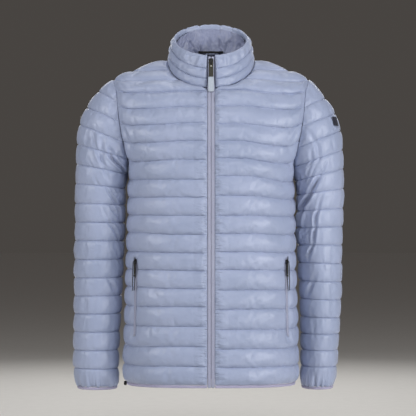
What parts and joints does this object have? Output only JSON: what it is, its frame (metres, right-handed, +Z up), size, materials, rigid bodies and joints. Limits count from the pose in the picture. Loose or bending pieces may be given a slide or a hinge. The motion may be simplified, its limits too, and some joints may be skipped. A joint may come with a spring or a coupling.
{
  "type": "puffer jacket",
  "caption": "Light quilted puffer jacket with a stand-up collar, full front zip, two zipped side pockets and bound cuffs and hem, in its worn shape, empty.",
  "frame": {"origin": "centre of the neck, midway between the two points where the shoulder seams meet the collar", "axes": "+Z up, the front of the jacket faces -Y, +X is the wearer's left"},
  "size_m": [0.5832, 0.2812, 0.7834],
  "materials": {
    "shell": "light satin nylon in a periwinkle grey-blue, quilted",
    "facing": "plain nylon of the same colour, gathered",
    "binding": "matt elastic binding, pale lavender",
    "tape": "matt woven zip tape, grey lavender",
    "black": "black coated slider and cord lock",
    "gunmetal": "dark gunmetal zip pull",
    "tab": "light grey soft pull tab",
    "cord": "black braided cord and tape",
    "patch": "dark navy woven patch, plain"
  },
  "bodies": {
    "jacket": {"back": "shell", "front_left": "shell", "front_right": "shell", "sleeve_left": "shell", "sleeve_right": "shell", "collar": "shell", "collar_facing": "facing", "neck_loop": "cord", "hem_binding": "binding", "cuff_binding_left": "binding", "cuff_binding_right": "binding", "zip_tape_left": "tape", "zip_tape_right": "tape", "pocket_zip_left": "tape", "pocket_zip_right": "tape", "zip_slider": "black", "pocket_left_slider": "black", "pocket_right_slider": "black", "pocket_cord_left_1": "cord", "pocket_cord_left_2": "cord", "pocket_cord_right_1": "cord", "pocket_cord_right_2": "cord", "hem_cord_lock": "black", "sleeve_patch": "patch"},
    "main_pull": {"zip_pull": "gunmetal", "zip_pull_tab": "tab"},
    "left_pocket_pull": {"pocket_left_pull": "gunmetal"},
    "right_pocket_pull": {"pocket_right_pull": "gunmetal"}
  },
  "joints": [
    {"name": "main_pull_swing", "type": "hinge", "parent": "jacket", "child": "main_pull", "pos_m": [0, -0.08552, -0.01178], "axis": [-1, 0, 0], "range_deg": [0, 110]},
    {"name": "left_pocket_pull_swing", "type": "hinge", "parent": "jacket", "child": "left_pocket_pull", "pos_m": [0.15937, -0.07546, -0.42742], "axis": [-0.57, -0.8216, -0.0076], "range_deg": [0, 110]},
    {"name": "right_pocket_pull_swing", "type": "hinge", "parent": "jacket", "child": "right_pocket_pull", "pos_m": [-0.15937, -0.07546, -0.42742], "axis": [-0.57, 0.8216, 0.0076], "range_deg": [0, 110]}
  ]
}
